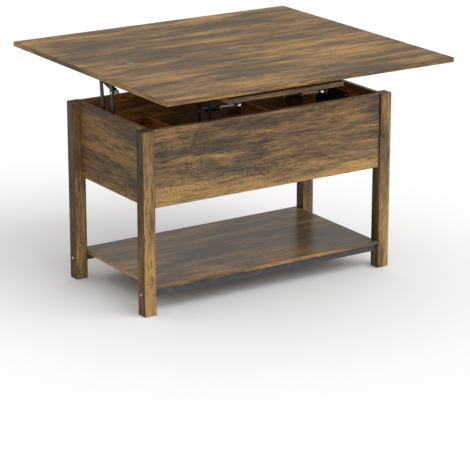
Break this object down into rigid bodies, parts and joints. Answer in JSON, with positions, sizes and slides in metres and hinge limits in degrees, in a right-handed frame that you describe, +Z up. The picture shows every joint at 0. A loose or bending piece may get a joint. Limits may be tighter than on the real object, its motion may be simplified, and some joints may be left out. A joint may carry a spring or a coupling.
{
  "type": "lift top coffee table",
  "caption": "Coffee table whose top lifts and unfolds into a dining table over a divided storage box with a rising inner tray and a lower shelf.",
  "frame": {"origin": "middle of the floor area under the table", "axes": "+X along the table's length, +Y towards the far side, +Z up"},
  "size_m": [1.06, 0.96, 0.7521],
  "materials": {
    "wood_laminate": "satin brown wood-grain laminate",
    "black_steel": "black powder coat",
    "chromed_rod": "polished chrome",
    "zinc_fastener": "bright zinc",
    "dark_bronze": "dark bronze satin"
  },
  "bodies": {
    "frame": {"leg_front_left": "wood_laminate", "leg_front_right": "wood_laminate", "leg_back_left": "wood_laminate", "leg_back_right": "wood_laminate", "front_panel": "wood_laminate", "back_panel": "wood_laminate", "end_panel_left": "wood_laminate", "end_panel_right": "wood_laminate", "box_bottom": "wood_laminate", "divider_left": "wood_laminate", "divider_right": "wood_laminate", "lower_shelf": "wood_laminate", "shelf_rail_front": "black_steel", "shelf_rail_back": "black_steel", "rail_end_plugs": "zinc_fastener", "rail_bolts": "zinc_fastener", "shelf_screws": "zinc_fastener", "lid_base_left": "black_steel", "lid_base_right": "black_steel", "lid_base_rivets": "zinc_fastener", "lid_base_screws": "zinc_fastener", "tray_base_left": "black_steel", "tray_base_right": "black_steel", "tray_base_rivets": "zinc_fastener", "tray_base_screws": "zinc_fastener"},
    "lid_front_arms": {"lid_front_arm_left": "black_steel", "lid_front_arm_right": "black_steel", "lid_strut_studs": "zinc_fastener"},
    "lid_rear_arms": {"lid_rear_arm_left": "black_steel", "lid_rear_arm_right": "black_steel"},
    "lid": {"fixed_leaf": "wood_laminate", "lid_bracket_left": "black_steel", "lid_bracket_right": "black_steel", "lid_top_rivets": "zinc_fastener", "lid_bracket_screws": "zinc_fastener", "hinge_plates_fixed": "dark_bronze", "hinge_pins": "zinc_fastener", "hinge_screws_fixed": "zinc_fastener"},
    "folding_half": {"folding_leaf": "wood_laminate", "hinge_plates_folding": "dark_bronze", "hinge_screws_folding": "zinc_fastener"},
    "lid_strut_tubes": {"lid_strut_tube_left": "black_steel", "lid_strut_tube_right": "black_steel"},
    "lid_strut_rods": {"lid_strut_rod_left": "chromed_rod", "lid_strut_rod_right": "chromed_rod"},
    "tray_rear_arms": {"tray_rear_arm_left": "black_steel", "tray_rear_arm_right": "black_steel", "tray_strut_studs": "zinc_fastener"},
    "tray_front_arms": {"tray_front_arm_left": "black_steel", "tray_front_arm_right": "black_steel"},
    "tray": {"tray_panel": "wood_laminate", "tray_bracket_left": "black_steel", "tray_bracket_right": "black_steel", "tray_top_rivets": "zinc_fastener", "tray_bracket_screws": "zinc_fastener"},
    "tray_strut_tubes": {"tray_strut_tube_left": "black_steel", "tray_strut_tube_right": "black_steel"},
    "tray_strut_rods": {"tray_strut_rod_left": "chromed_rod", "tray_strut_rod_right": "chromed_rod"}
  },
  "joints": [
    {"name": "lid_lift", "type": "hinge", "parent": "frame", "child": "lid_front_arms", "pos_m": [0, 0.0175, 0.48428], "axis": [1, 0, 0], "range_deg": [0, 72.4]},
    {"name": "lid_rear_arm_swing", "type": "hinge", "parent": "frame", "child": "lid_rear_arms", "pos_m": [0, 0.0795, 0.48428], "axis": [1, 0, 0], "range_deg": [0, 72.4]},
    {"name": "lid_level", "type": "hinge", "parent": "lid_front_arms", "child": "lid", "pos_m": [0, 0.042, 0.718], "axis": [1, 0, 0], "range_deg": [-72.4, 0]},
    {"name": "leaf_fold", "type": "hinge", "parent": "lid", "child": "folding_half", "pos_m": [0, 0, 0.74925], "axis": [-1, 0, 0], "range_deg": [0, 180]},
    {"name": "lid_strut_swing", "type": "hinge", "parent": "lid_front_arms", "child": "lid_strut_tubes", "pos_m": [0, 0.03533, 0.65435], "axis": [1, 0, 0], "range_deg": [-79.17, 0]},
    {"name": "lid_strut_slide", "type": "slide", "parent": "lid_strut_tubes", "child": "lid_strut_rods", "axis": [0, 0.9595, 0.2819], "range_m": [-0.07233, 0]},
    {"name": "tray_lift", "type": "hinge", "parent": "frame", "child": "tray_rear_arms", "pos_m": [0, -0.09691, 0.475], "axis": [-1, 0, 0], "range_deg": [0, 86.9]},
    {"name": "tray_front_arm_swing", "type": "hinge", "parent": "frame", "child": "tray_front_arms", "pos_m": [0, -0.15991, 0.495], "axis": [-1, 0, 0], "range_deg": [0, 86.9]},
    {"name": "tray_level", "type": "hinge", "parent": "tray_rear_arms", "child": "tray", "pos_m": [0, -0.086, 0.631], "axis": [-1, 0, 0], "range_deg": [-86.9, 0]},
    {"name": "tray_strut_swing", "type": "hinge", "parent": "tray_rear_arms", "child": "tray_strut_tubes", "pos_m": [0, -0.08893, 0.5891], "axis": [-1, 0, 0], "range_deg": [-97.16, 0]},
    {"name": "tray_strut_slide", "type": "slide", "parent": "tray_strut_tubes", "child": "tray_strut_rods", "axis": [0, -0.9561, 0.2929], "range_m": [-0.04719, 0]}
  ],
  "couplings": [
    {"joint": "lid_rear_arm_swing", "follows": "lid_lift", "ratio": 1},
    {"joint": "lid_level", "follows": "lid_lift", "ratio": -1},
    {"joint": "lid_strut_swing", "follows": "lid_lift", "ratio": -1.0935},
    {"joint": "lid_strut_slide", "follows": "lid_lift", "m_per_rad": -0.057241},
    {"joint": "tray_lift", "follows": "lid_lift", "ratio": 1.2003},
    {"joint": "tray_front_arm_swing", "follows": "lid_lift", "ratio": 1.2003},
    {"joint": "tray_level", "follows": "lid_lift", "ratio": -1.2003},
    {"joint": "tray_strut_swing", "follows": "lid_lift", "ratio": -1.342},
    {"joint": "tray_strut_slide", "follows": "lid_lift", "m_per_rad": -0.037344}
  ]
}
